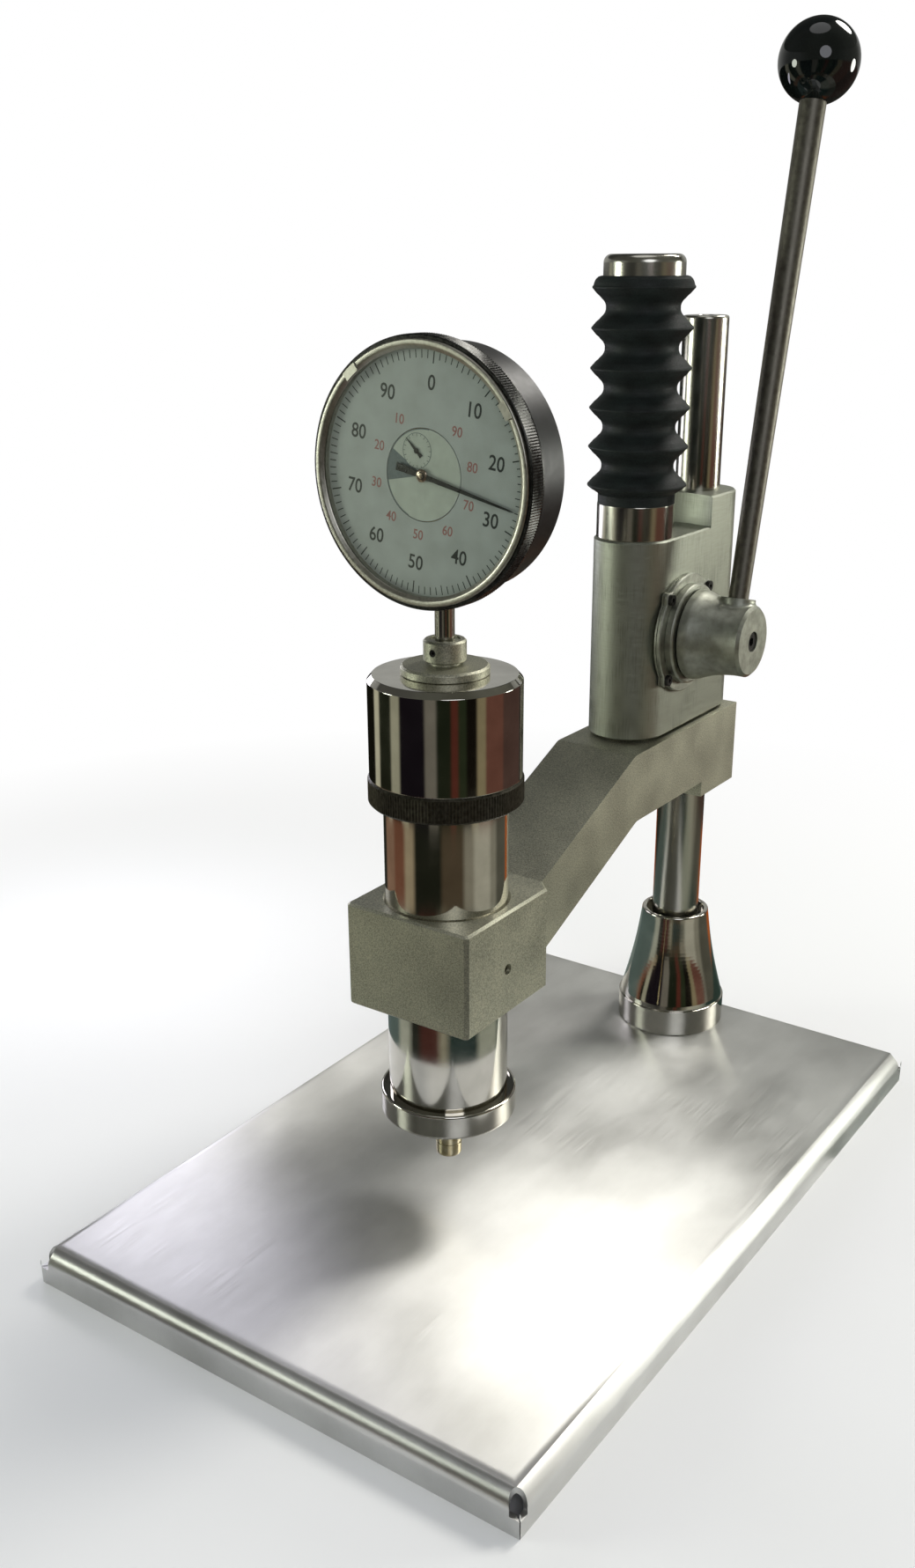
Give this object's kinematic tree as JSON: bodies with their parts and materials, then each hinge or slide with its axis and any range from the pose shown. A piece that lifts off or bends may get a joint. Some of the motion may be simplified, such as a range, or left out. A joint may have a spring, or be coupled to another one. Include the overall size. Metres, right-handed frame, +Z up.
{
  "type": "bench durometer",
  "caption": "Bench durometer: a dial gauge head on a Z-shaped arm, lowered by a rack and hand lever in front of a column on a folded steel base.",
  "frame": {"origin": "middle of the base's footprint on the table", "axes": "+Z up, -Y towards the dial and the head, +Y towards the column, +X towards the lever"},
  "size_m": [0.25, 0.382, 0.5166],
  "materials": {
    "stainless_sheet": "brushed",
    "satin_steel": "satin machined",
    "polished_steel": "mirror polished",
    "ground_steel": "ground",
    "bronze": "turned",
    "black_oxide": "black oxide",
    "dark_ring": "blackened, knurled",
    "black_rubber": "matte",
    "knob_plastic": "gloss",
    "spring_steel": "bright",
    "gauge_black": "satin black",
    "ring_silver": "satin",
    "crystal": "clear",
    "dial_paint": "matte",
    "pointer_black": "satin black",
    "brass": "turned"
  },
  "bodies": {
    "base": {"base_pan": "stainless_sheet", "base_stiffener": "satin_steel", "base_feet": "black_rubber", "column_socket": "polished_steel", "column": "ground_steel", "column_washer": "ground_steel", "column_bolt": "ground_steel", "housing": "satin_steel", "column_set_screws": "black_oxide", "lower_ram_bush": "bronze", "guide_ring": "polished_steel", "pinion_bushes": "bronze", "left_cover": "satin_steel", "left_cover_screws": "black_oxide", "bearing_flange": "satin_steel", "flange_screws": "black_oxide", "bearing_cover": "satin_steel", "bellows": "black_rubber", "return_spring": "spring_steel"},
    "carriage": {"ram": "ground_steel", "ram_cap": "polished_steel", "ram_screws": "black_oxide", "arm": "satin_steel", "head_set_screw": "black_oxide", "column_bush": "bronze", "head_barrel": "polished_steel", "nose_ring": "polished_steel", "push_rod_guides": "spring_steel", "lock_ring": "dark_ring", "head_cap": "polished_steel", "gauge_holder": "satin_steel", "clamp_collar": "satin_steel", "collar_screw": "black_oxide", "gauge_case": "gauge_black", "gauge_back": "gauge_black", "gauge_back_screws": "black_oxide", "gauge_stem": "ground_steel", "movement_plate": "brass", "dial_centre": "dial_paint", "indenter_spring": "spring_steel"},
    "lever": {"pinion_shaft": "ground_steel", "lever_hub": "satin_steel", "hub_screw": "black_oxide", "lever_rod": "ground_steel", "lever_knob": "knob_plastic"},
    "probe": {"indenter": "ground_steel", "push_rod": "ground_steel", "gauge_spindle": "ground_steel"},
    "pointer": {"pointer": "pointer_black"},
    "small_pointer": {"small_pointer": "pointer_black"},
    "bezel": {"bezel": "gauge_black", "bezel_ring": "ring_silver", "crystal": "crystal", "crystal_spacer": "ring_silver", "dial_ring": "dial_paint"},
    "marker_low": {"tolerance_marker_low": "ring_silver"},
    "marker_high": {"tolerance_marker_high": "ring_silver"}
  },
  "joints": [
    {"name": "ram_travel", "type": "slide", "parent": "base", "child": "carriage", "axis": [0, 0, -1], "range_m": [0, 0.0121], "stiffness_N_per_m": 2600, "springref_m": -0.03, "deforming": ["bellows", "return_spring"]},
    {"name": "lever_turn", "type": "hinge", "parent": "base", "child": "lever", "pos_m": [0, 0.1133, 0.2504], "axis": [1, 0, 0], "range_deg": [0, 62]},
    {"name": "indenter_press", "type": "slide", "parent": "carriage", "child": "probe", "axis": [0, 0, 1], "range_m": [0, 0.0025], "stiffness_N_per_m": 900, "springref_m": -0.004, "deforming": ["indenter_spring"]},
    {"name": "pointer_turn", "type": "hinge", "parent": "carriage", "child": "pointer", "pos_m": [0, -0.07, 0.3439], "axis": [0, 1, 0], "range_deg": [0, 901]},
    {"name": "small_pointer_turn", "type": "hinge", "parent": "carriage", "child": "small_pointer", "pos_m": [-0.0027, -0.07, 0.3527], "axis": [0, 1, 0], "range_deg": [0, 91]},
    {"name": "bezel_turn", "type": "hinge", "parent": "carriage", "child": "bezel", "pos_m": [0, -0.07, 0.3439], "axis": [0, 1, 0], "continuous": true},
    {"name": "marker_low_turn", "type": "hinge", "parent": "bezel", "child": "marker_low", "pos_m": [0, -0.0745, 0.3439], "axis": [0, 1, 0], "range_deg": [-60, 40]},
    {"name": "marker_high_turn", "type": "hinge", "parent": "bezel", "child": "marker_high", "pos_m": [0, -0.0745, 0.3439], "axis": [0, 1, 0], "range_deg": [-40, 60]}
  ],
  "couplings": [
    {"joint": "lever_turn", "follows": "ram_travel", "rad_per_m": 88.889},
    {"joint": "pointer_turn", "follows": "indenter_press", "rad_per_m": 6283.2},
    {"joint": "small_pointer_turn", "follows": "indenter_press", "rad_per_m": 628.32}
  ]
}
